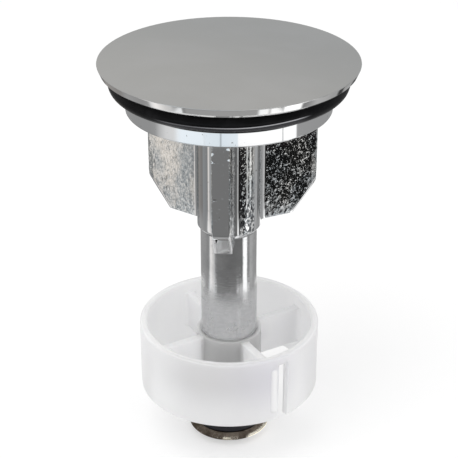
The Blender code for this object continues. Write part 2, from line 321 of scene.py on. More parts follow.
def bodyPlace(g):  # the piece's own place, in millimetres
    return inMillimetres(g, g.add("ShaderNodeTexCoord", out=3))


def axesOf(g, place):  # its three numbers, the first being the node's own output
    x = g.add("ShaderNodeSeparateXYZ", None, {0: place})
    return x, g.pick(x, 1), g.pick(x, 2)


def cloud(g, place, scale, detail=3.0, roughness=0.55, distortion=0.0):
    sockets = {"Vector": place, "Scale": scale, "Detail": detail}
    sockets.update({"Roughness": roughness, "Distortion": distortion})
    return g.add("ShaderNodeTexNoise", {"noise_dimensions": "3D"}, sockets)


def stretched(g, place, along):  # the same place with each axis scaled by itself
    return g.add("ShaderNodeVectorMath", {"operation": "MULTIPLY"}, {0: place, 1: along})


def closeFinish(g, sockets, relief, strength, depth):  # the shader with its fine relief
    bump = g.add("ShaderNodeBump", None, {"Strength": strength, "Distance": depth, "Height": relief})
    shader = g.add("ShaderNodeBsdfPrincipled", None, {**sockets, "Normal": bump})
    g.add("ShaderNodeOutputMaterial", None, {"Surface": shader})


def polishedChrome():
    material, g = startFinish("polishedChrome")
    place = bodyPlace(g)
    wiped = cloud(g, stretched(g, place, (0.5, 0.12, 1.0)), 0.8, 4.0)
    haze = cloud(g, place, 0.11, 2.0)
    tint = g.blend(haze.rise(0.35, 0.7), colour(0.71, 0.71, 0.705), colour(0.735, 0.735, 0.735))
    closeFinish(g, {
        "Base Color": tint, "Metallic": 1.0, "Roughness": wiped.rise(0.35, 0.75) * 0.035 + 0.05,
    }, wiped, 0.03, 0.004 * mm)
    return material


# Where the casting is rough, and where shade and glints are painted on it: each pair runs from none to full,
# in mm or degrees
castFinish = {
    "wing": (5.85, 6.1),  # from the axis: past it a wing's side is rough
    "side": (1.15, 1.32),  # from a wing's middle plane: its polished end, then its side
    "sideEnd": (-0.85, -0.7),  # from the wing's chamfer, which the rough side stops short of
    "band": (23.0, 58.0),  # the rough band on the hub beside a wing, in degrees from that wing
    "bandFade": 0.06,  # radians
    "bottomFade": (-0.2, 0.1), "topFade": (-0.3, -0.1),  # from the wings' lower edge, and from the flange
    "tip": (14.1, 14.5), "tipSide": (1.22, 1.32), "tipTop": (45, 50),  # a wing's nibbled outer edges
    "grain": 2.5, "fineGrain": 5.2, "grainMiddle": 48, "grainFall": 0.006, "bumpDepth": 0.036 * mm,
    "skinGrain": 1.75, "skinDepth": 0.03 * mm, "nibbleDepth": 1.5,
    "stainMiddle": 50, "stainFall": 0.016,
    "rightWing": (5.2, 6.2),  # to the right: painted shade between its glints
    "patchLeft": (1.5, 2.0), "patchRight": (5.0, 5.6), "patchTop": (42, 48),  # the band's lower end, with painted glints and painted shade in patches
    "cornerLeft": (1.3, 1.4), "cornerRight": (1.62, 1.8),  # painted shade in the corner right of the front wing
    "cornerFront": (-6.4, -6.0), "cornerBack": (-4.9, -4.8),
    "bevelTop": (-0.15, -0.05), "bevelRight": (0.0, 1.5),  # painted shade on the hub's lower bevel up to there
}


def castArea(g, place, body):  # where the casting is left rough, and where its wings' outer edges are nibbled
    s = castFinish
    x, y, z = axesOf(g, place)
    fromAxis = (x * x + y * y).math("SQRT")
    # Every wing is folded on the front one
    third = math.tau / body["wings"]
    turn = x.math("ARCTAN2", y * -1.0)
    folded = (turn + third / 2).math("FLOORED_MODULO", third) - third / 2
    offPlane = (fromAxis * folded.math("SINE")).math("ABSOLUTE")
    onWing = fromAxis.rise(*s["wing"])
    chamfer = (z - body["wingBottom"]) * body["slope"] + body["chamferFoot"]
    side = onWing * offPlane.rise(*s["side"])
    side = side * (1 - (fromAxis * folded.math("COSINE") - chamfer).rise(*s["sideEnd"]))
    first, last = (math.radians(limit) for limit in s["band"])
    band = folded.rise(first, first + s["bandFade"]) * (1 - folded.rise(last - s["bandFade"], last))
    above = (z - body["wingBottom"]).rise(*s["bottomFade"])
    below = 1 - (z - body["flangeBottom"]).rise(*s["topFade"])
    edge = fromAxis.rise(*s["tip"]) * offPlane.rise(*s["tipSide"]) * above * (1 - z.rise(*s["tipTop"]))
    return (side + band * (1 - onWing)).math("MINIMUM", 1.0) * above * below, edge


def castGrain(g, place):  # flat skin with worm-like bumps on it, closer together low down
    s = castFinish
    higher = (axesOf(g, place)[2] - s["grainMiddle"]) * s["grainFall"]
    grain = cloud(g, stretched(g, place, (1.0, 1.0, 0.75)), s["grain"], 1.0, 0.5, 0.8)
    grain = (grain - higher).rise(0.61, 0.72)
    fine = cloud(g, place, s["fineGrain"], 1.0, 0.5, 0.4).rise(0.65, 0.78)
    silk = cloud(g, stretched(g, place, (2.0, 2.0, 0.7)), 1.6, 1.0)
    return grain * 0.6 + fine * 0.4 + silk * 0.12


def castSkin(body):  # moves the rough areas of the casting's skin out and its nibbled edges in
    g = Graph(bpy.data.node_groups.new("castSkin", "GeometryNodeTree"))
    surface = g.size("Geometry", "NodeSocketGeometry")
    depth = g.size("Depth", "NodeSocketFloat", 0.04 * mm)
    scale = g.size("Grain", "NodeSocketFloat", 1.2)
    finish = g.size("Finish", "NodeSocketMaterial")
    place = inMillimetres(g, g.add("GeometryNodeInputPosition"))
    rough, edge = castArea(g, place, body)
    bumps = cloud(g, place, scale, 1.0).rise(0.55, 0.72) * rough
    nibbles = cloud(g, place, 3.0, 2.0).rise(0.45, 0.6) * edge * castFinish["nibbleDepth"]
    along = {0: g.add("GeometryNodeInputNormal"), "Scale": (bumps - nibbles) * depth}
    offset = g.add("ShaderNodeVectorMath", {"operation": "SCALE"}, along)
    moved = g.add("GeometryNodeSetPosition", None, {"Geometry": surface, "Offset": offset})
    solid = g.add("GeometryNodeRealizeInstances", None, {0: moved})
    g.giveGeometry(g.add("GeometryNodeSetMaterial", None, {"Geometry": solid, "Material": finish}))
    return g.tree


def castPaintedShading(g, place, body, cast, grain, tint):  # painted shade and painted glints on the same plating: darker, in patches or dull in a few places
    s = castFinish
    x, y, z = axesOf(g, place)
    # Painted shade: the right wing is darkened between its glints
    flat = cast * (1 - grain.rise(0.12, 0.4))
    tint = g.blend(flat * x.rise(*s["rightWing"]) * 0.45, tint, colour(0.10, 0.10, 0.105))
    # Painted glints and painted shade in patches at the band's lower end
    glintPatches = x.rise(*s["patchLeft"]) * (1 - x.rise(*s["patchRight"])) * (1 - z.rise(*s["patchTop"])) * cast
    patch = cloud(g, stretched(g, place, (1.0, 1.0, 0.6)), 2.4, 2.0)
    tint = g.blend(glintPatches * patch.rise(0.52, 0.56), tint, colour(1.0, 1.0, 1.0))
    tint = g.blend(glintPatches * (1 - patch.rise(0.46, 0.51)) * 0.8, tint, colour(0.07, 0.07, 0.075))
    # Painted shade in the crease right of the front wing, where it meets the hub
    corner = x.rise(*s["cornerLeft"]) * (1 - x.rise(*s["cornerRight"]))
    corner = corner * (1 - y.rise(*s["cornerBack"])) * y.rise(*s["cornerFront"])
    tint = g.blend(corner * 0.8, tint, colour(0.16, 0.16, 0.16))
    # Painted shade on the hub's lower bevel, where it meets the stem
    bevel = (1 - (z - body["wingBottom"]).rise(*s["bevelTop"])) * (1 - x.rise(*s["bevelRight"]))
    return g.blend(bevel, tint, colour(0.29, 0.29, 0.295))


def castChrome(body):
    material, g = startFinish("castChrome")
    place = bodyPlace(g)
    s = castFinish
    cast, edge = castArea(g, place, body)
    grain = castGrain(g, place)
    nibbles = cloud(g, place, 3.6, 2.0).rise(0.46, 0.58) * edge
    pits = cloud(g, place, 1.5, 2.0, 0.6, 0.5).rise(0.7, 0.73)
    waves = cloud(g, place, 0.35, 2.0)
    relief = cast * grain + (1 - cast) * (waves * 0.06 - pits * 0.25) - nibbles * 0.35
    # The rough skin turns from warm to cool in stains, cooler low down, with a silky shine over both
    stain = cloud(g, stretched(g, place, (1.0, 1.0, 0.5)), 0.35, 4.0)
    stain = stain - (axesOf(g, place)[2] - s["stainMiddle"]) * s["stainFall"]
    skinTone = g.blend(stain.rise(0.36, 0.7), colour(0.64, 0.63, 0.60), colour(0.36, 0.395, 0.415))
    silk = cloud(g, stretched(g, place, (1.6, 1.6, 0.8)), 2.6, 2.0).rise(0.42, 0.62)
    skinTone = g.blend(silk * 0.4, skinTone, colour(0.97, 0.97, 0.96))
    tint = g.blend(cast, colour(0.70, 0.705, 0.71), skinTone)
    tint = g.blend(pits * 0.7, tint, colour(0.25, 0.24, 0.23))
    closeFinish(g, {
        "Base Color": castPaintedShading(g, place, body, cast, grain, tint), "Metallic": 1.0,
        "Roughness": cast * (grain * 0.06 + 0.02) + 0.03,
    }, relief, 1.0, s["bumpDepth"])
    return material


def turnedChrome(scuffTop):
    material, g = startFinish("turnedChrome")
    place = bodyPlace(g)
    marks = cloud(g, stretched(g, place, (0.25, 0.25, 9.0)), 1.0, 4.0, 0.6)
    dents = cloud(g, stretched(g, place, (1.0, 1.0, 0.35)), 0.9, 3.0, 0.6)
    grain = cloud(g, place, 3.2, 2.0)
    smudge = cloud(g, place, 0.45, 3.0)
    tint = g.blend(smudge.rise(0.3, 0.75), colour(0.62, 0.625, 0.63), colour(0.70, 0.70, 0.705))
    tint = g.blend(grain.rise(0.66, 0.72) * 0.6, tint, colour(0.30, 0.30, 0.30))
    # Duller where the guide ring has been slid on
    height = axesOf(g, place)[2]
    scuffed = 1 - (height + dents * 3 - scuffTop / mm).rise(-0.2, 0.6)
    mottle = cloud(g, stretched(g, place, (0.7, 0.7, 1.8)), 1.5, 4.0, 0.65).rise(0.3, 0.7)
    dull = g.blend(mottle, colour(0.52, 0.525, 0.53), colour(0.60, 0.60, 0.605))
    tint = g.blend(scuffed, tint, dull)
    closeFinish(g, {
        "Base Color": tint, "Metallic": 1.0,
        "Roughness": smudge.rise(0.4, 0.8) * 0.05 + grain * 0.08 + 0.04 + scuffed * 0.16,
    }, marks * 0.5 + dents * 0.7 + grain * (scuffed * 0.3 + 0.25), 0.6, 0.02 * mm)
    return material


def blackRubber(highlightLineHeight):
    material, g = startFinish("blackRubber")
    place = bodyPlace(g)
    across, height = axesOf(g, place)[::2]
    # A painted highlight line runs along the seal's lower side, a little higher on the right, and painted
    # sheen greys the seal below it there
    above = height - highlightLineHeight / mm - across.rise(2.0, 14.0) * 0.35
    line = 1 - above.math("ABSOLUTE").rise(0.04, 0.13)
    clear = across.rise(-10.0, -7.0) * (1 - across.rise(11.0, 13.0))
    bloom = cloud(g, place, 0.35, 4.0, 0.6)
    skinGrain = cloud(g, place, 9.0, 2.0)
    tint = g.blend(bloom.rise(0.45, 0.8), colour(0.0035, 0.0035, 0.004), colour(0.009, 0.009, 0.01))
    # Painted sheen: the seal is greyed below the line
    tint = g.blend((1 - above.rise(-0.15, -0.05)) * clear, tint, colour(0.03, 0.03, 0.033))
    # The line itself is a painted highlight, brighter to the right
    highlightTone = g.blend(across.rise(-5.0, 5.0), colour(0.13, 0.13, 0.14), colour(0.42, 0.42, 0.44))
    tint = g.blend(line * clear * bloom.rise(0.1, 0.4), tint, highlightTone)
    closeFinish(g, {
        "Base Color": tint, "Roughness": bloom.rise(0.3, 0.8) * 0.12 + 0.26, "IOR": 1.17,
    }, skinGrain, 0.12, 0.01 * mm)
    return material


def whiteNylon():
    material, g = startFinish("whiteNylon")
    place = bodyPlace(g)
    x, y, z = axesOf(g, place)
    fromAxis = (x * x + y * y).math("SQRT")
    flow = cloud(g, stretched(g, place, (1.0, 1.0, 0.5)), 0.16, 3.0)
    grain = cloud(g, place, 5.0, 3.0)
    specks = g.add("ShaderNodeTexVoronoi", {"feature": "F1"}, {"Vector": place, "Scale": 0.21})
    dots = (1 - specks.rise(0.035, 0.06)) * cloud(g, place, 1.4).rise(0.5, 0.6)
    milk = g.blend(flow.rise(0.3, 0.7), colour(0.935, 0.93, 0.96), colour(0.97, 0.97, 0.975))
    # Painted shade greys the wall's outer skin, most of all in front and behind and high up, bluer to the
    # right, and the hub is clear white
    paintedWallShade = fromAxis.rise(13.9, 14.5) * (y.math("ABSOLUTE").rise(6.0, 14.7) * 0.7 + 0.3)
    paintedWallShade = paintedWallShade * (z.rise(9.0, 18.0) * 0.65 + 0.35)
    paintedWallShade = paintedWallShade * (1 - fromAxis.rise(14.76, 15.02) * 0.9)  # the bead's crest is left whiter, a painted highlight
    grey = g.blend(x.rise(-3.0, 10.0), colour(0.56, 0.557, 0.56), colour(0.57, 0.56, 0.61))
    milk = g.blend(paintedWallShade, milk, grey)
    milk = g.blend(1 - fromAxis.rise(5.3, 6.0), milk, colour(0.96, 0.96, 0.965))
    tint = g.blend(dots * 0.6, milk, colour(0.30, 0.29, 0.28))
    closeFinish(g, {
        "Base Color": tint, "Roughness": flow.rise(0.2, 0.8) * 0.1 + 0.28, "IOR": 1.53,
        "Subsurface Weight": 1.0, "Subsurface Radius": (1.0, 1.0, 1.02), "Subsurface Scale": 7.0 * mm,
    }, grain, 0.08, 0.01 * mm)
    return material


def bronze():
    material, g = startFinish("bronze")
    place = bodyPlace(g)
    patches = cloud(g, place, 0.5, 4.0, 0.6)
    fine = cloud(g, place, 6.0, 3.0, 0.6)
    x, y = axesOf(g, place)[:2]
    # A painted highlight along the edge on one side of the head, and bright spots of wear and painted
    # highlight here and there on the rest of its edge
    fromAxis = (x * x + y * y).math("SQRT")
    # Painted highlight along one side of the head's edge
    side = (x * 0.87 - y * 0.5 + patches * 1.4).rise(6.3, 6.9) * (fromAxis + fine * 0.5).rise(6.62, 6.85)
    edge = fromAxis.rise(6.3, 6.6) * (fine + patches).rise(1.05, 1.2)
    wornAndHighlight = (side + edge).math("MINIMUM", 1.0)
    brown = (patches * 0.7 + fine * 0.3).rise(0.35, 0.65)
    tint = g.blend(brown, colour(0.075, 0.058, 0.045), colour(0.23, 0.195, 0.16))
    tint = g.blend(wornAndHighlight, tint, colour(0.98, 0.92, 0.78))
    closeFinish(g, {
        "Base Color": tint, "Metallic": 1.0, "Roughness": fine.rise(0.2, 0.8) * 0.14 + 0.26 - wornAndHighlight * 0.08,
    }, fine * 0.7 + patches * 0.3, 0.4, 0.02 * mm)
    return material


# Cap: a thin crowned disc with its stud

capSizes = {
    "thickness": 1.47 * mm, "underBevel": 0.38 * mm, "rimTaper": 0.44 * mm, "topRound": 0.1 * mm,
    "underRound": 0.05 * mm, "bevelRound": 0.12 * mm, "rimExtra": 0.01 * mm,
    "studLength": 4.5 * mm, "studRadius": 3.95 * mm, "studChamfer": 0.5 * mm, "around": 256, "crownSteps": 18,
}


def makeCap(finish):
    low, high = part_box("plug_cap")
    s = capSizes
    stud, under = s["studRadius"], high.x - s["rimTaper"]
    underside = low.z + s["studLength"]
    edge = underside + s["thickness"]
    crown = high.z - edge
    corners = [
        (0, low.z, 0), (stud - s["studChamfer"], low.z, 0), (stud, low.z + s["studChamfer"], 0),
        (stud, underside, 0), (under - s["underBevel"], underside, s["underRound"]),
        (under, underside + s["underBevel"], s["bevelRound"]), (high.x + s["rimExtra"], edge, s["topRound"]),
        (0, edge, 0),
    ]
    outline = softOutline(corners, 5)[:-2]
    # The crown is part of a sphere, from the rounded edge up to the middle
    side = outline[-1].x
    ball = (side * side + crown * crown) / (2 * crown)
    for step in range(1, s["crownSteps"] + 1):
        radius = side * (1 - step / s["crownSteps"])
        outline.append(Vector((radius, high.z - ball + math.sqrt(ball ** 2 - radius ** 2))))
    return polish(skin("plugCap", circles(outline, s["around"])), finish)


# Seal: a round section with the faint flash line of its mould

# Beside the flash, the height of the seal's painted highlight line above its bottom
sealSizes = {
    "flash": 0.035 * mm, "flashWidth": 0.16, "paintedLineHeight": 1.06 * mm,
    "around": 256, "section": 40, "sharpFrom": 60,
}


def makeSeal(finish):
    low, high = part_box("seal_ring")
    s = sealSizes
    half = (high.z - low.z) / 2
    centre, middle = high.x - half, (high.z + low.z) / 2
    outline = []
    for step in range(s["section"]):
        turn = math.tau * step / s["section"]
        ridge = s["flash"] * math.exp(-((math.sin(turn) / s["flashWidth"]) ** 2)) * max(0.0, math.cos(turn))
        reach = half - s["flash"] + ridge
        outline.append((centre + reach * math.cos(turn), middle + reach * math.sin(turn)))
    return polish(skin("sealRing", circles(outline, s["around"]), closed=True), finish, s["sharpFrom"])


# Casting: hub, three wings, flange and neck, made as one third and repeated

castingSizes = {
    "wings": 3, "hubRadius": 5.05 * mm, "hubEndRadius": 4.57 * mm, "hubChamfer": 0.65 * mm,
    "hubEndRound": 0.03 * mm, "hubRound": 0.1 * mm, "hubOverlap": 2.0 * mm,
    "belowWings": 0.7 * mm, "reach": 15.0 * mm, "halfWing": 1.4 * mm, "rootFillet": 1.1 * mm,
    "wingChamferWidth": 4.1 * mm, "wingChamferHeight": 4.9 * mm, "wingHeight": 19.97 * mm,
    "edgeSoft": 0.1 * mm, "cornerSoft": 0.14 * mm, "chamferSoft": 0.3 * mm, "softenOver": 1.2 * mm,
    "chamferTopSoft": 0.05 * mm, "underFlange": 0.1 * mm,
    "flangeRadius": 15.86 * mm, "flangeThickness": 2.3 * mm, "flangeSoft": 0.12 * mm,
    "neckRadius": 15.3 * mm, "neckFootRound": 0.15 * mm, "neckTopRound": 0.1 * mm,
    "spigotBore": 3.0 * mm, "spigotDepth": 8.5 * mm, "drillTip": 1.5 * mm,
    "studBore": 4.0 * mm, "studDepth": 5.0 * mm,
    "tipSteps": 4, "cornerSteps": 5, "sideSteps": 36, "filletSteps": 8, "hubSteps": 14, "rowStep": 0.28 * mm,
}


def wingRow(height, reach, grow=0.0, corner=None):  # half of a third's plan, tip to hub, then mirrored
    s = castingSizes
    hub, half, fillet = s["hubRadius"] + grow, s["halfWing"] + grow, s["rootFillet"]
    corner = s["cornerSoft"] if corner is None else corner
    tip = math.asin((half - corner) / (reach - corner))
    count = s["tipSteps"]
    points = [polar(reach, tip * step / count) for step in range(count)]
    cornerAt, count = polar(reach - corner, tip), s["cornerSteps"]
    for step in range(count + 1):
        points.append(cornerAt + polar(corner, tip + (math.pi / 2 - tip) * step / count))
    along = math.sqrt((hub + fillet) ** 2 - (half + fillet) ** 2)
    start, end, count = points[-1], Vector((half, -along, 0)), s["sideSteps"]
    points += [start.lerp(end, step / count) for step in range(1, count)]
    sweep, count = math.atan2(along, half + fillet), s["filletSteps"]
    filletAt = Vector((half + fillet, -along, 0))
    for step in range(count + 1):
        a = sweep * step / count
        points.append(filletAt + fillet * Vector((-math.cos(a), math.sin(a), 0)))
    first, last, count = math.atan2(half + fillet, along), math.pi / s["wings"], s["hubSteps"]
    points += [polar(hub, first + (last - first) * step / count) for step in range(1, count + 1)]
    mirrored = [Vector((-point.x, point.y, 0)) for point in points[:0:-1]]
    return raised(mirrored + points, height)


def castingRows(low, high):  # rings of the casting's third from the hub's bore up to the neck's
    s = castingSizes
    plan = wingRow(0, s["reach"])
    turns = [math.atan2(point.x, -point.y) for point in plan]

    def circle(radius, height):
        return [polar(radius, turn, height) for turn in turns]

    hubEnd = low.z
    wingBottom = hubEnd + s["belowWings"]
    flangeBottom = wingBottom + s["wingHeight"]
    soft = s["edgeSoft"]
    slope = s["wingChamferWidth"] / s["wingChamferHeight"]
    inner = s["reach"] - s["wingChamferWidth"]
    rows = [[Vector((0, 0, hubEnd + s["spigotDepth"] + s["drillTip"]))]]
    rows += [circle(s["spigotBore"], hubEnd + s["spigotDepth"]), circle(s["spigotBore"], hubEnd)]
    hubCorners = [
        (s["spigotBore"], hubEnd, 0), (s["hubEndRadius"], hubEnd, s["hubEndRound"]),
        (s["hubRadius"], hubEnd + s["hubChamfer"], s["hubRound"]),
        (s["hubRadius"], wingBottom + s["hubOverlap"], 0),
    ]
    rows += [circle(r, z) for r, z in softOutline(hubCorners, 4)[1:-1]]
    # The wing's lower edge is rounded, then its end leans out along the chamfer, softer at its corners
    for a in quarter(4):
        rise = soft * (1 - math.cos(a))
        inset = soft * (1 - math.sin(a))
        rows.append(wingRow(wingBottom + rise, inner + slope * rise - inset, -inset, s["chamferSoft"]))
    turnZ = wingBottom + s["wingChamferHeight"]
    topZ = flangeBottom - s["underFlange"]
    count = round((topZ - wingBottom - soft) / s["rowStep"])
    for step in range(1, count + 1):
        z = wingBottom + soft + (topZ - wingBottom - soft) * step / count
        reach = min(s["reach"], inner + slope * (z - wingBottom))
        share = min(1.0, max(0.0, (z - turnZ) / s["softenOver"]))
        corner = s["chamferSoft"] + (s["cornerSoft"] - s["chamferSoft"]) * share
        inset = s["chamferTopSoft"] if abs(z - turnZ) < s["rowStep"] / 2 else 0
        rows.append(wingRow(z, reach - inset, 0, corner))
    for a in quarter(3)[1:]:
        grow = s["underFlange"] * (1 - math.cos(a))
        rows.append(wingRow(topZ + s["underFlange"] * math.sin(a), s["reach"] + grow, grow))
    flangeTop = flangeBottom + s["flangeThickness"]
    studEnd = high.z - s["studDepth"]
    rimCorners = [
        (s["hubRadius"], flangeBottom, 0), (s["flangeRadius"], flangeBottom, s["flangeSoft"]),
        (s["flangeRadius"], flangeTop, s["flangeSoft"]), (s["neckRadius"], flangeTop, s["neckFootRound"]),
        (s["neckRadius"], high.z, s["neckTopRound"]), (s["studBore"], high.z, 0), (s["studBore"], studEnd, 0),
    ]
    rows += [circle(r, z) for r, z in softOutline(rimCorners, 5)[1:]]
    rows.append([Vector((0, 0, studEnd))])
    # What the cast finish needs, in millimetres
    body = {
        "wings": s["wings"], "wingBottom": wingBottom / mm, "flangeBottom": flangeBottom / mm,
        "slope": slope, "chamferFoot": inner / mm,
    }
    return rows, body


def makeCasting(pattern):
    s = castFinish
    rows, body = castingRows(*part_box("winged_body"))
    finish = castChrome(body)
    casting = skin("wingedCasting", rows, wrap=False)
    withTree(casting, pattern, Count=body["wings"], First=0.0, Join=0.001 * mm, Finish=finish)
    withTree(casting, castSkin(body), Depth=s["skinDepth"], Grain=s["skinGrain"], Finish=finish)
    return polish(casting, finish)


# Stem: turned bar with its snap groove, tapped below, spigot above

stemSizes = {
    "endChamfer": 0.4 * mm, "endRound": 0.08 * mm, "sideRound": 0.15 * mm, "scuffTop": 29.8 * mm,
    "shoulderBelowTop": 8.0 * mm, "shoulderRound": 0.05 * mm,
    "spigotRadius": 2.95 * mm, "spigotChamfer": 0.5 * mm,
    "grooveDepth": 0.35 * mm, "grooveWidth": 1.8 * mm, "boreRadius": 3.05 * mm, "boreChamfer": 0.4 * mm,
    "boreDepth": 13.5 * mm, "drillTip": 1.5 * mm, "around": 160,
}


def makeStem(finish):
    low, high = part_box("stem")
    s = stemSizes
    radius, bore, spigot = high.x, s["boreRadius"], s["spigotRadius"]
    shoulder = high.z - s["shoulderBelowTop"]
    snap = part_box("guide_ring")[0].z + guideSizes["hubHeight"] / 2
    half, deep = s["grooveWidth"] / 2, s["grooveDepth"]
    boreEnd = low.z + s["boreDepth"]
    corners = [
        (bore + s["boreChamfer"], low.z, 0), (radius - s["endChamfer"], low.z, s["endRound"]),
        (radius, low.z + s["endChamfer"], s["sideRound"]), (radius, snap - half, 0),
        (radius - deep, snap - half + deep, 0), (radius - deep, snap + half - deep, 0),
        (radius, snap + half, 0), (radius, shoulder, s["shoulderRound"]), (spigot, shoulder, 0),
        (spigot, high.z - s["spigotChamfer"], 0), (spigot - s["spigotChamfer"], high.z, 0), (0, high.z, 0),
        (0, boreEnd + s["drillTip"], 0), (bore, boreEnd, 0), (bore, low.z + s["boreChamfer"], 0),
    ]
    outline = softOutline(corners, 4)
    # The outline is closed, so its two points on the axis are poles of the outer and the inner surface
    poles = [index for index, point in enumerate(outline) if point.x < 1e-7]
    loop = outline[poles[1]:] + outline[:poles[0] + 1]
    return polish(skin("stemBar", circles(loop, s["around"])), finish)


# Guide ring: outer wall, hub, ribs, notch and bead, in one moulding

guideSizes = {
    "wall": 1.25 * mm, "bottomRound": 1.0 * mm, "topRound": 0.32 * mm, "innerRound": 0.2 * mm,
    "hubRadius": 5.35 * mm, "hubHeight": 10.1 * mm, "hubRound": 0.15 * mm,
    "bore": 4.67 * mm, "boreRound": 0.1 * mm,
    "ribs": 4, "ribTurn": math.radians(34.7), "ribHalf": 0.65 * mm, "ribHeight": 6.6 * mm,
    "ribBelowHub": 0.3 * mm, "ribFillet": 0.7 * mm, "ribSoft": 0.22 * mm,
    "ribStart": 4.95 * mm, "ribSink": 0.03 * mm, "ribInWall": 0.5 * mm,
    "notchTurn": math.radians(6.2), "notchHalf": 0.935 * mm, "notchBelowTop": 1.4 * mm,
    "beadTurn": math.radians(-0.8), "beadRadius": 1.05 * mm, "beadLength": 9.2 * mm, "beadProud": 0.25 * mm,
    "around": 192, "hubAround": 128, "beadAround": 28, "sharpFrom": 34,
}


def ribPlan(half, wall):  # one rib along -Y, flared into the hub and the wall
    s = guideSizes
    fillet = s["ribFillet"]
    wide = half + fillet
    nearHub = math.sqrt(s["hubRadius"] ** 2 - wide ** 2) - s["ribSink"]
    nearWall = math.sqrt(wall ** 2 - wide ** 2) + s["ribSink"]
    side = [(wide, s["ribStart"])]
    side += [(half + fillet * (1 - math.sin(a)), nearHub + fillet * (1 - math.cos(a))) for a in quarter(6)]
    side += [(half + fillet * (1 - math.cos(a)), nearWall - fillet * (1 - math.sin(a))) for a in quarter(6)]
    side.append((wide, nearWall + s["ribInWall"]))
    right = [Vector((x, -y, 0)) for x, y in side]
    return right + [Vector((-point.x, point.y, 0)) for point in reversed(right)]


def makeRib(low, high, wall):
    s = guideSizes
    soft = s["ribSoft"]
    levels = [(low + soft * (1 - math.cos(a)), soft * (1 - math.sin(a))) for a in quarter(4)]
    levels += [(high - soft * (1 - math.sin(a)), soft * (1 - math.cos(a))) for a in quarter(4)]
    return skin("ribs", [raised(ribPlan(s["ribHalf"] - inset, wall), z) for z, inset in levels], caps=True)


def makeGuideRing(finish, pattern):
    low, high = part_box("guide_ring")
    s = guideSizes
    outer = high.x
    inner = outer - s["wall"]
    hubTop = low.z + s["hubHeight"]
    wall = softOutline([
        (inner, low.z, s["innerRound"]), (outer, low.z, s["bottomRound"]),
        (outer, high.z, s["topRound"]), (inner, high.z, s["topRound"]),
    ], 6)
    ring = skin("guideRing", circles(wall, s["around"]), closed=True)
    hub = softOutline([
        (s["bore"], low.z, s["boreRound"]), (s["hubRadius"], low.z, s["hubRound"]),
        (s["hubRadius"], hubTop, s["hubRound"]), (s["bore"], hubTop, s["boreRound"]),
    ], 4)
    ribTop = hubTop - s["ribBelowHub"]
    ribs = makeRib(ribTop - s["ribHeight"], ribTop, inner)
    withTree(ribs, pattern, Count=s["ribs"], First=s["ribTurn"], Join=0.0, Finish=finish)
    cut(ring, ribs, "UNION")
    cut(ring, skin("hub", circles(hub, s["hubAround"]), closed=True), "UNION")

    # The notch is cut up from below through the wall, and the bead beside it ends level with it
    top = high.z - s["notchBelowTop"]
    notchAt = s["ribTurn"] + s["notchTurn"]
    across = polar(s["notchHalf"], notchAt + math.pi / 2)
    near, away = polar(inner - mm, notchAt), polar(outer + mm, notchAt)
    plan = [near - across, away - across, away + across, near + across]
    cut(ring, skin("notch", [raised(plan, z) for z in (low.z - mm, top)], caps=True), "DIFFERENCE")
    bottom = top - s["beadLength"]
    r = s["beadRadius"]
    outline = [(0, bottom)] + [(r * math.sin(a), bottom + r * (1 - math.cos(a))) for a in quarter(6)[1:]]
    outline += [(r * math.cos(a), top - r * (1 - math.sin(a))) for a in quarter(6)[:-1]] + [(0, top)]
    bead = skin("bead", circles(outline, s["beadAround"]))
    bead.data.transform(Matrix.Translation(polar(outer + s["beadProud"] - r, s["ribTurn"] + s["beadTurn"])))
    cut(ring, bead, "UNION")
    return polish(ring, finish, s["sharpFrom"])


# Rubber washer between the stem and the screw's head

washerSizes = {"bore": 3.1 * mm, "boreEdge": 0.1 * mm, "edge": 0.25 * mm, "around": 128}


def makeWasher(finish):
    low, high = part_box("buffer_washer")
    s = washerSizes
    corners = [
        (s["bore"], low.z, s["boreEdge"]), (high.x, low.z, s["edge"]),
        (high.x, high.z, s["edge"]), (s["bore"], high.z, s["boreEdge"]),
    ]
    return polish(skin("rubberWasher", circles(softOutline(corners, 5), s["around"]), closed=True), finish)


# Adjusting screw: slotted round head below, threaded shank above

screwSizes = {
    "footRadius": 4.7 * mm, "footRound": 1.6 * mm, "dome": 1.1 * mm, "rim": 0.2 * mm, "bevel": 0.7 * mm,
    "bevelRadius": 5.8 * mm, "bevelRound": 0.2 * mm, "rimRound": 0.15 * mm, "rimExtra": 0.02 * mm,
    "slotHalf": 0.75 * mm, "slotDepth": 0.9 * mm, "shankSink": 0.4 * mm, "around": 128, "sharpFrom": 40,
}
threadSizes = {
    "Radius": 2.95 * mm, "Depth": 0.55 * mm, "Pitch": 1.0 * mm, "Point": 0.7 * mm, "Around": 64, "Rows": 190,
}


def makeScrew(finish, thread):
    low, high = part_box("adjusting_screw")
    s = screwSizes
    rim, rimBottom = high.x + s["rimExtra"], low.z + s["dome"]
    rimTop = rimBottom + s["rim"]
    top = rimTop + s["bevel"]
    corners = [
        (0, low.z, 0), (s["footRadius"], low.z, s["footRound"]), (rim, rimBottom, s["rimRound"]),
        (rim, rimTop, s["rimRound"]), (s["bevelRadius"], top, s["bevelRound"]), (0, top, 0),
    ]
    screw = skin("adjustingScrew", circles(softOutline(corners, 6), s["around"]))
    reach, half = high.x + mm, s["slotHalf"]
    plan = [Vector((x, y, 0)) for x, y in ((-reach, -half), (reach, -half), (reach, half), (-reach, half))]
    cut(screw, skin("slot", [raised(plan, z) for z in (-mm, s["slotDepth"])], caps=True), "DIFFERENCE")
    shank = bpy.data.objects.new("shank", bpy.data.meshes.new("shank"))
    bpy.context.scene.collection.objects.link(shank)
    bottom = top - s["shankSink"]
    withTree(shank, thread, Bottom=bottom, Length=high.z - bottom, Finish=finish, **threadSizes)
    cut(screw, shank, "UNION")
    return polish(screw, finish, s["sharpFrom"])


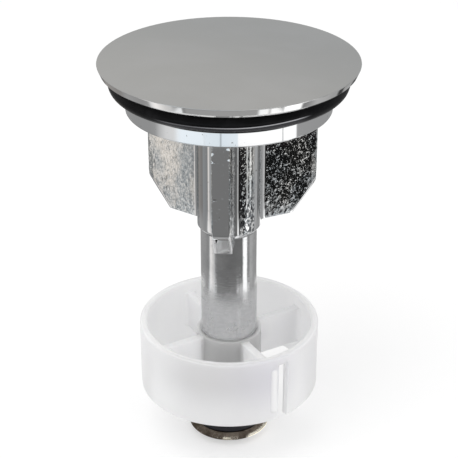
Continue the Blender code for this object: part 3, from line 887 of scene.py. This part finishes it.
def dress(piece, node, body):  # the piece takes its solid's place
    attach(piece, body)
    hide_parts(node)
    print("piece:", piece.name, len(piece.data.polygons), "faces")


pattern = roundPattern()
rubber = blackRubber(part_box("seal_ring")[0].z + sealSizes["paintedLineHeight"])
dress(makeCap(polishedChrome()), "plug_cap", "plug")
dress(makeSeal(rubber), "seal_ring", "plug")
dress(makeCasting(pattern), "winged_body", "plug")
dress(makeStem(turnedChrome(stemSizes["scuffTop"])), "stem", "plug")
dress(makeGuideRing(whiteNylon(), pattern), "guide_ring", "guide")
dress(makeWasher(rubber), "buffer_washer", "washer")
dress(makeScrew(bronze(), threadTree()), "adjusting_screw", "screw")


# Studio: white floor and surroundings, soft lamps, and cards that only reflections see

viewSizes = {
    "turn": 4.7, "rise": 27.5, "distance": 0.2159, "aimHeight": 0.03764,
    "lens": 105.93, "sensor": 36, "nearest": 0.005, "farthest": 20,
}
studio = {
    "floorColour": 0.80, "floorSeen": 0.5, "floorGlow": 0.5, "floorRadius": 3.0, "fill": 0.84,
    "cardRadius": 0.9, "cardHeight": 0.1 * mm, "cardPower": 2.0, "lessRed": 0.09, "moreBlue": 0.07,
    "innerEdge": (52.8, 53.8), "nearEdge": (78.0, 90.0), "farEdge": (147.3, 147.8), "farBehind": 1.6,
    "lampAim": 0.03,
}
lamps = {
    "overhead": {"turn": -38, "rise": 60, "away": 0.55, "size": 0.4, "power": 1.05},
    "side": {"turn": 75, "rise": 35, "away": 0.6, "size": 0.35, "power": 0.3675},
}
rayKinds = {"glossy": 3, "transmission": 6}  # outputs of the Light Path node, whose first is for the camera

# What the cards show round the plug: degrees from the camera's side towards the right, brightness, blueness
innerCard = [
    (-180, 0.9, 0), (-120, 0.9, 0), (-106, 0.5, 0), (-92, 0.5, 0), (-88, 1.1, 0.3), (-49, 1.15, 0.2),
    (-47.5, 0.2, 0), (-44.5, 0.42, 0), (29, 0.42, 0), (32, 1.25, 0.2), (40, 1.3, 0), (42, 0.6, 0),
    (44, 1.4, 0), (88, 1.4, 0), (91, 0.5, 0), (120, 0.5, 0), (135, 0.9, 0), (180, 0.9, 0),
]
nearCard = [
    (-180, 0.4, 0), (-112, 0.4, 0), (-92, 0.34, 0), (-85, 0.4, 0), (-82, 0.9, 0), (-77, 1.15, -0.3),
    (-66, 0.8, -0.2), (-60, 0.72, 0), (-55, 0.34, 0), (-50, 0.24, 0), (-10, 0.2, 0), (10, 0.19, 0),
    (42, 0.22, 0), (55.5, 0.18, 0), (58, 1.6, 0), (75, 1.6, 0), (77.5, 0.26, 0), (84, 0.34, 0),
    (94, 0.56, 0), (104, 0.52, 0), (116, 0.42, 0), (146, 0.36, 0), (152, 1.3, 0), (180, 1.3, 0),
]
middleCard = [
    (-180, 0.34, 0.3), (-158, 0.1, 0), (-146, 0.34, -0.5), (-108, 0.24, -0.4), (-104, 0.34, 0.4),
    (-80.8, 0.28, 0.2), (-79, 0.92, -0.6), (-75, 0.9, -0.5), (-72, 0.46, 0), (-58, 0.42, 0.8),
    (-40, 0.3, 0.6), (-28, 0.23, 0), (26, 0.22, 0), (30, 0.02, 0), (62, 0.02, 0), (65, 0.9, 0),
    (69, 0.9, 0), (71, 0.05, 0), (76, 0.05, 0), (78, 1.2, 0), (84, 1.2, 0), (86, 0.08, 0),
    (90, 0.08, 0), (92, 0.5, 0.1), (120, 0.46, 0.1), (123, 0.06, 0), (129, 0.06, 0), (132, 0.4, 0),
    (144, 0.44, 0.1), (150, 0.08, 0), (170, 0.08, 0), (180, 0.2, 0.2),
]
farCard = [
    (-180, 0.35, 0), (-92, 0.38, 0), (-84, 0.42, 0), (-77, 0.66, 0), (-69, 0.88, 0), (-60, 0.93, 0),
    (-55, 1.15, 0.5), (-50, 1.22, 0.8), (-25.4, 1.2, 0.8), (-24.7, 0.2, 0), (-24, 1.12, 0.9),
    (-8.8, 1.08, 1), (-8.1, 0.1, 0), (-7.4, 1.08, 1), (8.6, 1.15, 0.8), (9.2, 0.15, 0), (9.8, 1.4, 0),
    (57.2, 1.5, 0), (57.8, 0.5, 0), (58.4, 1.5, 0), (74, 1.5, 0), (76, 0.42, 0), (180, 0.35, 0),
]


def orbit(thing, aim, turn, rise, away):  # stands off from a height on the axis and faces it; in degrees
    point, turn, rise = Vector((0, 0, aim)), math.radians(turn), math.radians(rise)
    thing.location = point + polar(away * math.cos(rise), turn, away * math.sin(rise))
    thing.rotation_euler = (thing.location - point).to_track_quat("Z", "Y").to_euler()
    bpy.context.scene.collection.objects.link(thing)


def cardShade(g, share, stops):  # a card's colours round the plug
    levels = []
    for turn, light, blue in stops:
        tinted = (light * (1 - studio["lessRed"] * blue), light, light * (1 + studio["moreBlue"] * blue))
        shade = tuple(min(1.0, part / studio["cardPower"]) for part in tinted)
        levels.append(((turn + 180) / 360, shade))
    return g.add("ShaderNodeValToRGB", {"stops": levels}, {0: share})


def makeCards():  # one disc on the floor, its cards ring after ring outwards
    material, g = startFinish("reflectionCards")
    x, y = axesOf(g, bodyPlace(g))[:2]
    away = (x * x + y * y).math("SQRT")
    turn = x.math("ARCTAN2", y * -1.0) - math.radians(viewSizes["turn"])
    share = (turn + math.pi).math("FLOORED_MODULO", math.tau) / math.tau
    inner, near = cardShade(g, share, innerCard), cardShade(g, share, nearCard)
    shade = g.blend(away.rise(*studio["innerEdge"]), inner, near)
    shade = g.blend(away.rise(*studio["nearEdge"]), shade, cardShade(g, share, middleCard))
    behind = (1 - turn.math("COSINE")) * studio["farBehind"]
    shade = g.blend((away + behind).rise(*studio["farEdge"]), shade, cardShade(g, share, farCard))
    glow = g.add("ShaderNodeEmission", None, {"Color": shade, "Strength": studio["cardPower"]})
    g.add("ShaderNodeOutputMaterial", None, {0: glow})
    height = studio["cardHeight"]
    card = skin("reflectionCards", circles([(0, height), (studio["cardRadius"], height)], 96))
    card.data.materials.append(material)
    card.visible_camera = card.visible_diffuse = card.visible_transmission = card.visible_shadow = False
    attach(card, "washer")


def makeFloor():
    material, g = startFinish("floor")
    rays = g.add("ShaderNodeLightPath")
    seen = rays.math("MAXIMUM", g.pick(rays, rayKinds["glossy"]))
    seen = seen.math("MAXIMUM", g.pick(rays, rayKinds["transmission"]))
    tones = [colour(tone, tone, tone) for tone in (studio["floorColour"], studio["floorSeen"])]
    diffuse = g.add("ShaderNodeBsdfDiffuse", None, {"Color": g.blend(seen, *tones)})
    power = seen * studio["floorGlow"]
    glow = g.add("ShaderNodeEmission", None, {"Color": colour(1, 1, 1), "Strength": power})
    g.add("ShaderNodeOutputMaterial", None, {0: g.add("ShaderNodeAddShader", None, {0: diffuse, 1: glow})})
    floor = skin("floor", circles([(0, 0), (studio["floorRadius"], 0)], 64))
    floor.data.materials.append(material)
    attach(floor, "washer")  # the plug stands on its screw, so the floor goes down with it


def makeSurroundings():
    world = bpy.data.worlds.new("studio")
    bpy.context.scene.world = world
    world.use_nodes = True
    world.node_tree.nodes.clear()
    g = Graph(world.node_tree)
    rays = g.add("ShaderNodeLightPath")
    seen = rays.math("MAXIMUM", g.pick(rays, rayKinds["transmission"]))
    # The room that the chrome mirrors is dimmer low down and to the right
    ray = axesOf(g, g.add("ShaderNodeTexCoord"))
    dimmer = (ray[0] * 1.2 - ray[2] * 2.2 + 1.0).rise(-0.1, 0.42)
    sky = g.blend(dimmer, colour(0.515, 0.512, 0.50), colour(0.435, 0.442, 0.442))
    mirrored = g.add("ShaderNodeBackground", None, {"Color": sky, "Strength": 1.0})
    plain = g.add("ShaderNodeBackground", None, {"Color": colour(1, 1, 1), "Strength": studio["fill"]})
    white = g.add("ShaderNodeBackground", None, {"Color": colour(1, 1, 1), "Strength": 1.0})
    light = g.add("ShaderNodeMixShader", None, {0: g.pick(rays, rayKinds["glossy"]), 1: plain, 2: mirrored})
    surface = g.add("ShaderNodeMixShader", None, {0: seen, 1: light, 2: white})
    g.add("ShaderNodeOutputWorld", None, {0: surface})


def addLamp(name, turn, rise, away, size, power):
    lamp = bpy.data.lights.new(name, "AREA")
    lamp.shape = "DISK"
    lamp.size = size
    lamp.energy = power
    thing = bpy.data.objects.new(name, lamp)
    thing.visible_glossy = False
    orbit(thing, studio["lampAim"], turn, rise, away)


def addCamera():
    s = viewSizes
    lens = bpy.data.cameras.new("camera")
    lens.lens = s["lens"]
    lens.sensor_width = s["sensor"]
    lens.clip_start = s["nearest"]
    lens.clip_end = s["farthest"]
    camera = bpy.data.objects.new("camera", lens)
    orbit(camera, s["aimHeight"], s["turn"], s["rise"], s["distance"])
    bpy.context.scene.camera = camera


makeFloor()
makeCards()
makeSurroundings()
for name, settings in lamps.items():
    addLamp(name, **settings)
addCamera()
bpy.context.scene.view_settings.view_transform = "Standard"
print("studio: ready")
